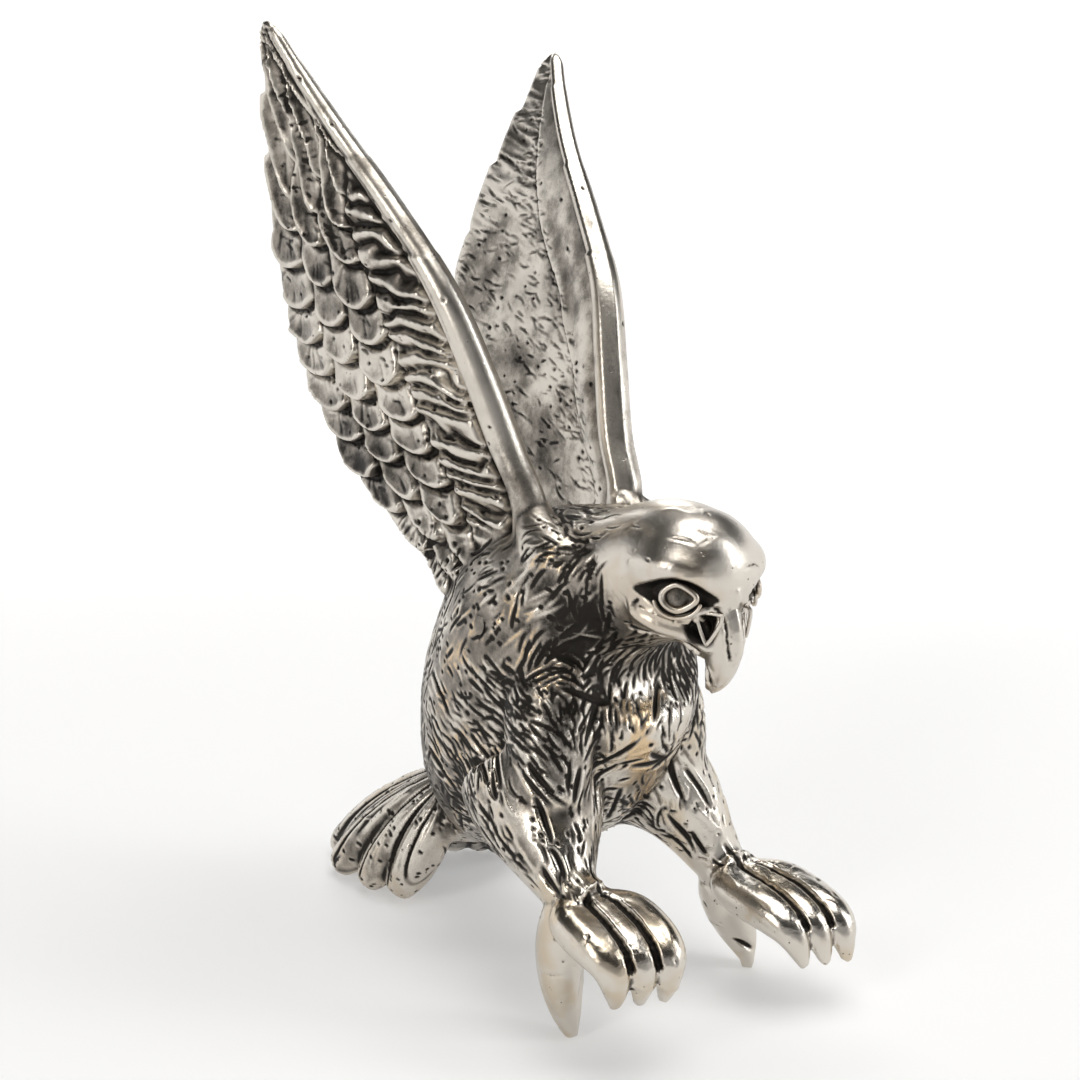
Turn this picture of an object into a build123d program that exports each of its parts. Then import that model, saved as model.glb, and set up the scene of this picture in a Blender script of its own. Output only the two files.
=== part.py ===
from build123d import *
import math
import os

# A cast metal bird of prey, alighting: wings raised, legs forward, tail braced on the ground.
# It is cast in seven pieces. Each has a flat seam and a keyed tenon, which enters a socket in the
# body and is held by a cross pin, filed flush.
# Millimetres. +Z is up, the bird faces -Y and its right side is -X.
# While it is being modelled, Y = 0 is at the rear talon tips and Z = 0 is the ground.
# The finished pieces then move along Y only, so that the origin is the middle of the footprint.

# ---- overall sizes ----
body_length = 40.0        # tail seat to neck seat, along the back
body_width = 26.0         # across the breast
body_depth = 32.0         # breast to back
hip_height = 23.5         # hip line above the ground
hip_setback = 21.5        # hip line behind the rear talon tips
head_length = 17.8        # neck seat to brow
head_width = 13.6
head_height = 14.0
beak_length = 10.4        # root to hooked tip
eye_diameter = 3.0
wing_rise = 57.0          # shoulder to wing tip, upward
wing_chord = 36.5         # front-to-back size that the wing's outline is drawn on
wing_root_spread = 5.2    # leading edge, from the centre plane, at the shoulder
wing_tip_spread = 19.4    # wing tip, from the centre plane
wing_twist = 3.0          # how much wider the trailing edge stands, at the shoulder
wing_lean = 14.0          # the blade leans outward by this many degrees
tail_length = 24.5        # tail seat to the longest feather tip, over the ground
tail_root_height = 15.5   # middle of the tail's root above the ground
foot_spread = 12.0        # rear talon tip, from the centre plane

# ---- walls, joints and pins ----
wall = 2.6                # metal between the hollow and the outside
tenon_long = 7.0          # tenon section, larger side
tenon_short = 4.6         # tenon section, smaller side
tenon_reach = 5.0         # how far a tenon enters the body
solder_gap = 0.08         # clearance round each tenon
socket_spare = 0.3        # clearance past the end of each tenon
socket_floor = 1.6        # metal between a socket's end and the hollow
pin_diameter = 1.6
pin_overrun = 1.2         # how far a pin goes past its tenon
vent_diameter = 2.4       # core vent, from the tail socket into the hollow

# ---- plumage ----
leading_edge_radius = 1.9
blade_thickness = 2.8
blade_root_swell = 2.2    # what the shoulder adds to each side of the blade
feather_count = 12        # along the trailing edge of each wing
feather_width = 5.0
feather_thickness = 1.8
feather_slope = 0.16      # a feather's root is this share of the wing above its tip
tail_feather_width = 5.2

# ---- feet ----
toe_radius = 1.75
toe_pitch = 2.7           # spacing of the three front toes
foot_yaw = 20.0           # both feet point to the bird's right by this many degrees
shank_radius = 2.7
rear_talon_radius = 2.5
talon_tip_radius = 0.55

crotch_half_width = 3.2   # half of the keel that is left between the two leg castings
back_half_width = 1.2     # half of the ridge that is left between the two wing castings
reach_past = 260.0        # longer than any cut has to be

RIGHT = -1
LEFT = 1
names = {RIGHT: "right", LEFT: "left"}


# ---- shaping helpers ----
def direction(pitch):
    """A unit vector in the centre plane, tilted forward from straight up by pitch degrees."""
    angle = math.radians(pitch)
    return Vector(0, -math.sin(angle), math.cos(angle))


def oval(centre, along, half_width, half_height, across=Vector(1, 0, 0)):
    """One elliptical section, square to 'along', with its width towards 'across'."""
    plane = Plane(origin=centre, x_dir=across - along * across.dot(along), z_dir=along)
    return plane * Ellipse(half_width, half_height)


def skin(sections):
    """A smooth solid through the given sections."""
    return loft([section.face() for section in sections])


def limb(points, radii, flatness=1.0, across=Vector(1, 0, 0)):
    """A smooth tapering limb along the points. Each section is 'flatness' times as thick as wide."""
    path = Spline(*points)
    sections = []
    for point, radius in zip(points, radii):
        along = path % path.param_at_point(point)
        sections.append(oval(point, along, radius, radius * flatness, across))
    return skin(sections)


def beyond(plane, offset=0.0):
    """Everything on the side that the plane faces, starting 'offset' beyond it."""
    block = Box(reach_past, reach_past, reach_past, align=(Align.CENTER, Align.CENTER, Align.MIN))
    return plane.offset(offset) * block


def add_up(shapes):
    total = shapes[0]
    for shape in shapes[1:]:
        total = total + shape
    return total


# ---- body ----
hip = Vector(0, hip_setback, hip_height)


def spine(setback, rise):
    """A point of the spine, from shares of the body length behind and above the hip."""
    return hip + Vector(0, setback * body_length, rise * body_length)


# Each station: its place, its forward tilt, and its shares of the body's width and depth.
body_stations = [
    (spine(0.250, -0.280), 50, 0.42, 0.32),
    (spine(0.140, -0.150), 42, 0.78, 0.64),
    (spine(0.000, 0.000), 28, 0.96, 0.92),
    (spine(-0.100, 0.175), 20, 1.00, 1.00),
    (spine(-0.190, 0.345), 33, 0.98, 0.91),
    (spine(-0.300, 0.455), 58, 0.82, 0.58),
    (spine(-0.425, 0.505), 74, 0.60, 0.44),
]
tail_seat, tail_pitch = body_stations[0][:2]
neck_seat, neck_pitch = body_stations[-1][:2]


def body_section(station, inset=0.0):
    centre, pitch, width_share, depth_share = station
    half_width = body_width / 2 * width_share - inset
    half_depth = body_depth / 2 * depth_share - inset
    return oval(centre, direction(pitch), half_width, half_depth)


def body_skin(inset=0.0):
    """The body's outer shape, or its hollow when the inset is the wall."""
    return skin([body_section(station, inset) for station in body_stations])


# ---- seams: each is a flat that faces out of the body ----
neck_seam = Plane(origin=neck_seat, x_dir=(1, 0, 0), z_dir=direction(neck_pitch))
tail_seam = Plane(origin=tail_seat, x_dir=(1, 0, 0), z_dir=direction(tail_pitch) * -1)


def wing_seam(side):
    seat = spine(-0.110, 0.500) + Vector(side * body_width * 0.25, 0, 0)
    return Plane(origin=seat, x_dir=(0, 0.885, -0.465), z_dir=(side * 0.42, 0.42, 0.80))


def leg_seam(side):
    seat = spine(-0.140, -0.090) + Vector(side * body_width * 0.30, 0, 0)
    return Plane(origin=seat, x_dir=(1, 0, side * 0.4167), z_dir=(side * 0.30, -0.62, -0.72))


def side_of(side, half_width):
    """Everything on one side that is further from the centre plane than half_width."""
    return beyond(Plane(origin=(side * half_width, 0, 0), x_dir=(0, 1, 0), z_dir=(side, 0, 0)))


# ---- head: skull, brows, eyes and hooked beak in one casting ----
def head_point(setback, rise):
    """A point of the head, from shares of the head length behind and above the neck seat."""
    return neck_seat + Vector(0, setback * head_length, rise * head_length)


# Each station: its place, its forward tilt, and its shares of the head's width and height.
head_stations = [
    (head_point(-0.270, 0.075), 86, 1.00, 1.00),
    (head_point(-0.490, 0.090), 93, 0.93, 0.88),
    (head_point(-0.640, 0.075), 98, 0.73, 0.68),
    (head_point(-0.740, 0.060), 100, 0.36, 0.34),
]
beak_root = head_point(-0.530, -0.080)
# Each station: shares of the beak length behind and above its root, its forward tilt, half sizes.
beak_stations = [
    (0.00, 0.00, 100, 0.35, 0.35),
    (-0.16, -0.10, 130, 0.26, 0.27),
    (-0.25, -0.35, 165, 0.18, 0.19),
    (-0.20, -0.60, 195, 0.12, 0.13),
    (-0.07, -0.77, 215, 0.05, 0.055),
]


def make_head():
    sections = [body_section(body_stations[-1])]
    for centre, pitch, width_share, height_share in head_stations:
        half_width = head_width / 2 * width_share
        half_height = head_height / 2 * height_share
        sections.append(oval(centre, direction(pitch), half_width, half_height))
    skull = skin(sections)
    sections = []
    for setback, rise, pitch, width_share, height_share in beak_stations:
        centre = beak_root + Vector(0, setback, rise) * beak_length
        half_width = beak_length * width_share
        half_height = beak_length * height_share
        sections.append(oval(centre, direction(pitch), half_width, half_height))
    beak = skin(sections)
    mandible = limb(
        [head_point(-0.350, -0.150), head_point(-0.490, -0.260), head_point(-0.570, -0.350)],
        [beak_length * 0.24, beak_length * 0.15, beak_length * 0.06],
    )
    eye_place = head_point(-0.590, 0.020)
    eyes = []
    for side in (RIGHT, LEFT):
        out = Vector(side * (head_width * 0.365 - eye_diameter * 0.14), 0, 0)
        eyes.append(Pos(eye_place + out) * Sphere(eye_diameter / 2))
    return add_up([skull, beak, mandible] + eyes)


# ---- wings ----
shoulder = spine(-0.230, 0.490)
# Each station: shares of the wing's rise, and of its chord back to the two edges.
wing_stations = [
    (-0.020, 0.040, 0.460),
    (0.120, 0.000, 0.830),
    (0.230, 0.075, 1.000),
    (0.370, 0.155, 1.115),
    (0.510, 0.250, 1.140),
    (0.650, 0.415, 1.110),
    (0.790, 0.600, 1.030),
    (0.910, 0.735, 0.935),
    (0.985, 0.820, 0.875),
]


def wing_edges(side, station):
    """The leading and trailing points of one station."""
    rise, lead, trail = station
    height = shoulder.Z + rise * wing_rise
    spread = wing_root_spread + (wing_tip_spread - wing_root_spread) * max(rise, 0) ** 1.45
    twist = wing_twist * (1 - rise)
    leading = Vector(side * spread, shoulder.Y + lead * wing_chord, height)
    trailing = Vector(side * (spread + twist), shoulder.Y + trail * wing_chord, height)
    return leading, trailing


def feather(side, root, tip):
    """One flight feather on the outer face, from near its root to its round end at the tip."""
    lean = math.radians(wing_lean)
    out = Vector(side * math.cos(lean), 0, -math.sin(lean))
    run = tip - root
    along = run.normalized()
    length = min(run.length * 0.85, feather_width * 2.4)
    middle = tip - along * (length / 2 - feather_width * 0.1) + out * feather_thickness * 0.25
    plane = Plane(origin=middle, x_dir=along, z_dir=out)
    return extrude(plane * SlotOverall(length, feather_width), feather_thickness / 2, both=True)


def make_wing(side):
    sections = []
    band_points = []
    band_radii = []
    trailing_points = []
    for station in wing_stations:
        leading, trailing = wing_edges(side, station)
        rise = station[0]
        taper = 1 - 0.55 * max(rise, 0) ** 3
        swell = blade_root_swell * max(0, 1 - rise / 0.25) ** 2
        half_thickness = blade_thickness / 2 * taper + swell
        chord = trailing - leading
        plane = Plane(origin=leading + chord / 2, x_dir=chord, z_dir=(0, 0, 1))
        sections.append(plane * Ellipse(chord.length / 2, half_thickness))
        radius = leading_edge_radius * taper
        band_points.append(leading + chord.normalized() * radius * 0.6)
        band_radii.append(radius)
        trailing_points.append(trailing)
    feathers = []
    leading_edge = Spline(*band_points)
    trailing_edge = Spline(*trailing_points)
    for count in range(feather_count):
        height = (count + 0.5) / (feather_count + 0.5)
        root = leading_edge @ min(height + feather_slope, 1.0)
        feathers.append(feather(side, root, trailing_edge @ height))
    return add_up([skin(sections), limb(band_points, band_radii)] + feathers)


# ---- tail: a lobed fan, swung to the bird's right ----
# Each feather: its bearing from straight back, positive to the left, and its share of the length.
tail_fan = [
    (-52, 0.43),
    (-40, 0.60),
    (-28, 0.82),
    (-15, 0.98),
    (-3, 0.92),
    (9, 0.76),
    (21, 0.68),
    (33, 0.66),
    (45, 0.60),
]
# Along each feather: share of its reach, share of the root height, share of the feather width.
tail_profile = [(-0.12, 1.02, 0.42), (0.45, 0.71, 0.50), (0.78, 0.32, 0.60), (1.00, 0.07, 0.36)]


def make_tail():
    root_end = tail_seat + direction(tail_pitch) * -4.0
    root = skin([body_section(body_stations[0]), oval(root_end, direction(tail_pitch), 6.2, 3.4)])
    feathers = []
    for bearing, share in tail_fan:
        angle = math.radians(bearing)
        back = Vector(math.sin(angle), math.cos(angle), 0)
        across = Vector(math.cos(angle), -math.sin(angle), 0)
        points = []
        for reach, height, width in tail_profile:
            over_ground = Vector(0, tail_seat.Y, 0) + back * (tail_length * share * reach)
            points.append(over_ground + Vector(0, 0, tail_root_height * height))
        radii = [tail_feather_width * width for reach, height, width in tail_profile]
        feathers.append(limb(points, radii, 0.9, across))
    return add_up([root] + feathers)


# ---- legs: thigh, shank, foot, three front toes and a rear talon in one casting ----
# Thigh points: share of half the body width, then the point and radius. The left leg reaches
# further forward and lower than the right.
leg_shapes = {
    RIGHT: dict(
        thigh=[(0.50, 14.0, 24.0, 7.6), (0.73, 8.5, 20.3, 6.6), (0.88, 3.0, 17.0, 4.1)],
        ankle=Vector(-12.0, -0.3, 14.8),
        knuckle=Vector(-11.4, -4.0, 13.4),
        toe_tip=Vector(-11.4, -9.0, 7.2),
    ),
    LEFT: dict(
        thigh=[(0.50, 14.0, 23.0, 7.0), (0.64, 8.7, 18.2, 5.6), (0.76, 5.0, 14.0, 3.6)],
        ankle=Vector(10.6, 2.6, 11.2),
        knuckle=Vector(11.3, -2.6, 10.3),
        toe_tip=Vector(11.5, -11.3, 5.2),
    ),
}


def make_leg(side):
    shape = leg_shapes[side]
    ankle, knuckle, toe_tip = shape["ankle"], shape["knuckle"], shape["toe_tip"]
    points = [Vector(side * body_width / 2 * share, y, z) for share, y, z, r in shape["thigh"]]
    radii = [r for share, y, z, r in shape["thigh"]]
    sole = ankle + (knuckle - ankle) * 0.5
    leg = [limb(points + [ankle, sole], radii + [shank_radius, shank_radius * 1.08])]
    yaw = math.radians(foot_yaw)
    row = Vector(math.cos(yaw), -math.sin(yaw), 0) * toe_pitch
    for place in (-1, 0, 1):
        shift = row * place
        base = ankle + (knuckle - ankle) * 0.45 + shift * 0.35
        bend = (knuckle + toe_tip) / 2 + Vector(0, -2.3, 1.0) + shift
        toe_points = [base, knuckle + shift * 0.9, bend, toe_tip + shift * 0.9]
        leg.append(limb(toe_points, [toe_radius, toe_radius * 1.05, toe_radius, talon_tip_radius]))
    heel = Vector(side * foot_spread, 0, 0)
    rear_points = [
        ankle + Vector(0, -0.6, -0.8),
        Vector(ankle.X, 1.8, ankle.Z * 0.62),
        heel + Vector(0, 1.5, 4.2),
        heel,
    ]
    rear_radii = [rear_talon_radius, rear_talon_radius, rear_talon_radius * 0.8, talon_tip_radius]
    leg.append(limb(rear_points, rear_radii))
    return add_up(leg)


# ---- keyed joints ----
def tenon(seam):
    """The key that stands on an outer piece's seam and reaches into the body."""
    block = Box(tenon_long, tenon_short, tenon_reach + 1, align=(Align.CENTER, Align.CENTER, Align.MIN))
    return seam.offset(-tenon_reach) * block


def socket(seam):
    depth = tenon_reach + socket_spare
    long_side = tenon_long + 2 * solder_gap
    short_side = tenon_short + 2 * solder_gap
    block = Box(long_side, short_side, depth, align=(Align.CENTER, Align.CENTER, Align.MIN))
    return seam.offset(-depth) * block


def cross_pin(seam, across, start):
    """A pin halfway down a tenon. It starts 'start' from the middle, on the far side of 'across'."""
    middle = seam.origin - seam.z_dir * (tenon_reach / 2)
    plane = Plane(origin=middle - across * start, z_dir=across)
    return extrude(plane * Circle(pin_diameter / 2), reach_past / 2)


def build():
    body = body_skin()
    ground = Plane(origin=(0, 0, 0), x_dir=(1, 0, 0), z_dir=(0, 0, -1))
    below_ground = beyond(ground)
    seams = {"head": neck_seam, "tail": tail_seam}
    outer = {"head": make_head(), "tail": make_tail() & beyond(tail_seam)}
    torso = body
    pins = {
        "neck_pin": cross_pin(neck_seam, neck_seam.x_dir, body_width),
        "tail_pin": cross_pin(tail_seam, tail_seam.x_dir, body_width),
    }
    for side in (RIGHT, LEFT):
        seam = wing_seam(side)
        cut = beyond(seam) & side_of(side, back_half_width)
        seams[f"{names[side]}_wing"] = seam
        if side == RIGHT:
            outer["right_wing"] = (make_wing(side) + body) & cut
        else:
            outer["left_wing"] = mirror(outer["right_wing"], about=Plane.YZ)
        torso = torso - cut
        outward = seam.y_dir * (-side)
        pins[f"{names[side]}_wing_pin"] = cross_pin(seam, outward, tenon_short / 2 + pin_overrun)
        seam = leg_seam(side)
        cut = beyond(seam) & side_of(side, crotch_half_width)
        seams[f"{names[side]}_leg"] = seam
        outer[f"{names[side]}_leg"] = (make_leg(side) + body) & cut
        torso = torso - cut
        outward = seam.x_dir * side
        pins[f"{names[side]}_leg_pin"] = cross_pin(seam, outward, tenon_long / 2 + pin_overrun)
    hollow = body_skin(wall)
    depth = tenon_reach + socket_spare + socket_floor
    for seam in seams.values():
        hollow = hollow - beyond(seam, -depth)
    print("hollow", len(hollow.solids()), round(hollow.volume, 1))
    vent = extrude(tail_seam * Circle(vent_diameter / 2), -(depth + wall))
    parts = {"torso": torso - hollow - vent}
    for name, seam in seams.items():
        parts["torso"] = parts["torso"] - socket(seam)
        parts[name] = (outer[name] + tenon(seam)) - below_ground
    for name, pin in pins.items():
        owner = name.replace("_pin", "").replace("neck", "head")
        fitted = pin & body
        parts["torso"] = parts["torso"] - pin
        parts[owner] = parts[owner] - pin
        parts[name] = fitted
    return parts


def main():
    os.makedirs("parts", exist_ok=True)
    parts = build()
    box = Compound(children=[part.solid() for part in parts.values()]).bounding_box()
    shift = Pos(0, -(box.min.Y + box.max.Y) / 2, 0)
    for name, part in parts.items():
        print(name, len(part.solids()), round(part.volume, 1))
        export_step(shift * part, f"parts/{name}.step")
    print("moved along Y", round(shift.position.Y, 3), "box", box)


main()
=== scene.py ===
import math

import bpy
import numpy as np
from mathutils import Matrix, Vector
from mathutils.geometry import tessellate_polygon
from mathutils.kdtree import KDTree


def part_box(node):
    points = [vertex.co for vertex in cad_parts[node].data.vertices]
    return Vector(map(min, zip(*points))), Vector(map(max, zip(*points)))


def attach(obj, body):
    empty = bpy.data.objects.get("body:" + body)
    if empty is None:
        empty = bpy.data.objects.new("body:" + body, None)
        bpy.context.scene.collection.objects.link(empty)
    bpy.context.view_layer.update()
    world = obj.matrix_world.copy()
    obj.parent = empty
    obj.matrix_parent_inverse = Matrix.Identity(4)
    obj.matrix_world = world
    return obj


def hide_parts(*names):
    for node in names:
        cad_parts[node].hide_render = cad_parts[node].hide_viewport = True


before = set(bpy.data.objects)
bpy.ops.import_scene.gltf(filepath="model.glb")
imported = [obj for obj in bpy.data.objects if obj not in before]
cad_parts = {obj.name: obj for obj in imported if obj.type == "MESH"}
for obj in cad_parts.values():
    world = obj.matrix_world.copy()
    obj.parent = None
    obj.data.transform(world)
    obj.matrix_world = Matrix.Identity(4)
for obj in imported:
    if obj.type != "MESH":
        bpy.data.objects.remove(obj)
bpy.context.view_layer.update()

# A cast and chased bird of prey in antiqued silver.
# The whole bird is built as one skin: the castings of the frame, sculpted wings and fillets are
# merged, then chased with strokes, pits and grooves. The skin is then divided along the seams.
# Shapes are worked out in millimetres in the frame's own axes: +Z up, the bird faces -Y.
MM = 0.001
skin_cell = 0.2      # spacing of the sculpted skin
wing_cell = 0.15     # spacing of the wings before they are merged
RIGHT = -1.0
LEFT = 1.0
SIDES = {"right": RIGHT, "left": LEFT}
X_AXIS, Y_AXIS, Z_AXIS = np.eye(3)
random = np.random.default_rng(7)
share = 1.0
feather_strokes = int(2400 * share)
raised_locks = int(700 * share)
pit_count = int(2300 * share)
slash_count = int(90 * share)
scratch_count = int(420 * share)
wing_hatches = int(1000 * share)


# ---- places that come from the frame ----
def box(node):
    """The lowest and highest corners of a CAD node, in millimetres."""
    low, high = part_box(node)
    return np.array(low) / MM, np.array(high) / MM


torso_low, torso_high = box("torso")
wing_high = box("left_wing")[1]

body_width = torso_high[0] - torso_low[0]
body_depth = body_width * 1.23
body_length = body_width * 1.54
hip = np.array([0.0, torso_high[1] - 13.25, torso_low[2] + 15.1])
wing_rise = 57.0
wing_chord = 36.5
shoulder = np.array([0.0, wing_high[1] - 42.36, wing_high[2] - 56.7])
neck_seat = np.array([0.0, hip[1] - 17.0, hip[2] + 20.2])
tail_seat = np.array([0.0, hip[1] + 10.0, hip[2] - 11.2])
# the ways in which the castings leave the body; x is away from the middle
neck_way = (0, -0.8, 0.6)
tail_way = (0, 0.766, -0.643)
wing_way = (0.42, 0.42, 0.80)
leg_way = (0.30, -0.62, -0.72)
head_heights = (33, 53.5)   # the head lies between these


# ---- numbers ----
def smoothstep(low, high, value):
    t = np.clip((np.asarray(value, float) - low) / (high - low), 0.0, 1.0)
    return t * t * (3 - 2 * t)


def unit(v):
    v = np.asarray(v, float)
    return v / np.maximum(np.linalg.norm(v, axis=-1, keepdims=True), 1e-9)


def hashed(cells, seed):
    """A repeatable random number from -1 to 1 for each row of whole numbers."""
    c = cells.astype(np.int64)
    h = c[:, 0] * 73856093 ^ c[:, 1] * 19349663 ^ c[:, 2] * 83492791 ^ (seed * 2654435761)
    h = (h ^ (h >> 13)) * 1274126177 & 0x7FFFFFFF
    h = (h ^ (h >> 15)) * 668265263 & 0x7FFFFFFF
    return (h & 0xFFFF) / 32767.5 - 1.0


def noise(points, size, seed=0):
    """Smooth noise from -1 to 1, with features of about 'size'."""
    p = np.asarray(points, float) / size
    base = np.floor(p)
    f = p - base
    f = f * f * (3 - 2 * f)
    total = np.zeros(len(p))
    for corner in range(8):
        step = np.array([corner & 1, corner >> 1 & 1, corner >> 2 & 1])
        weight = np.prod(np.where(step, f, 1 - f), axis=1)
        total += weight * hashed(base + step, seed)
    return total


def through(rows, count):
    """'count' rows on a smooth curve through the given rows."""
    rows = np.asarray(rows, float)
    ends = np.vstack([2 * rows[0] - rows[1], rows, 2 * rows[-1] - rows[-2]])
    t = np.linspace(0, len(rows) - 1, count)
    i = np.minimum(t.astype(int), len(rows) - 2)
    f = (t - i)[:, None]
    a, b, c, d = ends[i], ends[i + 1], ends[i + 2], ends[i + 3]
    return 0.5 * (2 * b + (c - a) * f + (2 * a - 5 * b + 4 * c - d) * f**2 + (3 * b - a - 3 * c + d) * f**3)


def smooth_at(keys, values, at):
    """Values on a smooth curve over the keys."""
    fine = through(np.column_stack([keys, values]), 400)
    return np.interp(at, fine[:, 0], fine[:, 1])


# ---- meshes as arrays: (points in mm, faces) ----
def grid(points, wrap=False):
    """Quads over a rows x columns array of points."""
    rows, cols = points.shape[:2]
    r, c = np.meshgrid(np.arange(rows - 1), np.arange(cols if wrap else cols - 1), indexing="ij")
    n = (c + 1) % cols
    quads = np.stack([r * cols + c, r * cols + n, (r + 1) * cols + n, (r + 1) * cols + c], -1)
    return points.reshape(-1, 3), quads.reshape(-1, 4)


def tube(rings):
    """A closed solid from rings of points, with a flat end at each side."""
    start = np.broadcast_to(rings[0].mean(0), rings[:1].shape)
    end = np.broadcast_to(rings[-1].mean(0), rings[:1].shape)
    return grid(np.concatenate([start, rings, end]), wrap=True)


def limb(points, radii, flat=1.0, across=X_AXIS, sides=24, steps=28):
    """A tapering solid along points, with round ends. Sections are 'flat' times as thick as wide."""
    path = through(np.column_stack([points, radii]), steps)
    centre, radius = path[:, :3], np.maximum(path[:, 3], 0.05)
    along = unit(np.gradient(centre, axis=0))
    cap = np.linspace(0, 1, 6)[:-1]
    front = centre[0] - along[0] * radius[0] * np.cos(cap * math.pi / 2)[:, None]
    back = centre[-1] + along[-1] * radius[-1] * np.cos(cap[::-1] * math.pi / 2)[:, None]
    ends = np.sin(cap * math.pi / 2)
    centre = np.vstack([front, centre, back])
    radius = np.concatenate([radius[0] * ends, radius, radius[-1] * ends[::-1]])
    along = np.vstack([np.tile(along[0], (5, 1)), along, np.tile(along[-1], (5, 1))])
    side = unit(across - along * (along @ across)[:, None])
    up = np.cross(along, side)
    turn = np.linspace(0, 2 * math.pi, sides, endpoint=False)
    wide = side[:, None] * np.cos(turn)[None, :, None]
    thick = up[:, None] * np.sin(turn)[None, :, None] * flat
    return tube(centre[:, None] + (wide + thick) * radius[:, None, None])


def ball(centre, radius, stretch=(1, 1, 1)):
    """A sphere, stretched along each axis."""
    tilt = np.linspace(0, math.pi, 25)[:, None]
    turn = np.linspace(0, 2 * math.pi, 48, endpoint=False)[None, :]
    rings = np.stack([np.sin(tilt) * np.cos(turn), np.sin(tilt) * np.sin(turn), np.cos(tilt) + 0 * turn], -1)
    return grid(np.asarray(centre) + rings * radius * np.asarray(stretch), wrap=True)


def loop_of_wire(points, radius, sides=12):
    """A closed ring of round wire through the given closed loop of points."""
    points = np.asarray(points, float)
    along = unit(np.roll(points, -1, 0) - np.roll(points, 1, 0))
    middle = points.mean(0)
    side = unit(points - middle - along * np.sum((points - middle) * along, 1)[:, None])
    up = np.cross(along, side)
    turn = np.linspace(0, 2 * math.pi, sides, endpoint=False)[None, :, None]
    rings = points[:, None] + (side[:, None] * np.cos(turn) + up[:, None] * np.sin(turn)) * radius
    return grid(np.vstack([rings, rings[:1]]), wrap=True)


def mirrored(solid):
    points, faces = solid
    return points * [-1, 1, 1], faces[:, ::-1]


def cad_solid(node):
    """A CAD node's own mesh as an array solid."""
    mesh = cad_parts[node].data
    points = np.empty(len(mesh.vertices) * 3)
    mesh.vertices.foreach_get("co", points)
    mesh.calc_loop_triangles()
    faces = np.empty(len(mesh.loop_triangles) * 3, np.int32)
    mesh.loop_triangles.foreach_get("vertices", faces)
    return points.reshape(-1, 3) / MM, faces.reshape(-1, 3)


def new_mesh(name, points, faces):
    """A Blender mesh from points in mm and faces that all have the same number of corners."""
    mesh = bpy.data.meshes.new(name)
    mesh.vertices.add(len(points))
    mesh.vertices.foreach_set("co", (np.asarray(points) * MM).astype(np.float32).ravel())
    corners = np.concatenate([f.ravel() for f in faces])
    sizes = np.concatenate([np.full(len(f), f.shape[1]) for f in faces])
    mesh.loops.add(len(corners))
    mesh.loops.foreach_set("vertex_index", corners.astype(np.int32))
    mesh.polygons.add(len(sizes))
    mesh.polygons.foreach_set("loop_start", (np.cumsum(sizes) - sizes).astype(np.int32))
    mesh.update(calc_edges=True)
    return mesh


def joined(name, solids):
    """One mesh that holds all the solids."""
    points, faces, start = [], [], 0
    for p, f in solids:
        points.append(p)
        faces.append(f + start)
        start += len(p)
    return new_mesh(name, np.vstack(points), faces)


def merged_skin(solids, cell):
    """The outer skin of all the solids together, as (points, quads)."""
    mesh = joined("skin", solids)
    obj = bpy.data.objects.new("skin", mesh)
    bpy.context.scene.collection.objects.link(obj)
    remesh = obj.modifiers.new("merge", "REMESH")
    remesh.mode = "VOXEL"
    remesh.voxel_size = cell * MM
    depsgraph = bpy.context.evaluated_depsgraph_get()
    made = bpy.data.meshes.new_from_object(obj.evaluated_get(depsgraph))
    points = np.empty(len(made.vertices) * 3)
    made.vertices.foreach_get("co", points)
    corners = np.empty(len(made.loops), np.int32)
    made.loops.foreach_get("vertex_index", corners)
    bpy.data.objects.remove(obj)
    bpy.data.meshes.remove(mesh)
    bpy.data.meshes.remove(made)
    return points.reshape(-1, 3) / MM, corners.reshape(-1, 4)


class Skin:
    """A mesh of quads that can be smoothed and pushed along its normals."""

    def __init__(self, points, quads):
        self.points, self.quads = points, quads
        pairs = np.concatenate([quads[:, [k, (k + 1) % 4]] for k in range(4)])
        self.a, self.b = pairs[pairs[:, 0] < pairs[:, 1]].T
        count = len(points)
        self.degree = np.bincount(self.a, minlength=count) + np.bincount(self.b, minlength=count)
        self.degree = np.maximum(self.degree, 1)[:, None]

    def average(self, values):
        """Each point's value as the mean over its neighbours."""
        count = len(self.points)
        sums = [
            np.bincount(self.a, v[self.b], count) + np.bincount(self.b, v[self.a], count)
            for v in values.T
        ]
        return np.stack(sums, -1) / self.degree

    def smoothed(self, values, rounds, weight=None):
        weight = 0.6 if weight is None else 0.6 * weight[:, None]
        for _ in range(rounds):
            values = values + (self.average(values) - values) * weight
        return values

    def normals(self):
        p = self.points[self.quads]
        face = np.cross(p[:, 2] - p[:, 0], p[:, 3] - p[:, 1])
        total = np.zeros_like(self.points)
        for axis in range(3):
            for corner in range(4):
                total[:, axis] += np.bincount(self.quads[:, corner], face[:, axis], len(total))
        return unit(total)


# ---- body: the castings' own outline, filled ----
# Rows: place behind and above the hip as shares of the body length, forward tilt, and half the
# width and depth as shares of the body's.
body_rows = [
    (0.250, -0.280, 50, 0.42, 0.32),
    (0.140, -0.150, 42, 0.78, 0.64),
    (0.000, 0.000, 28, 0.96, 0.92),
    (-0.100, 0.175, 20, 1.00, 1.00),
    (-0.190, 0.345, 33, 0.98, 0.91),
    (-0.300, 0.455, 58, 0.82, 0.58),
    (-0.425, 0.505, 74, 0.60, 0.44),
]


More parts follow.
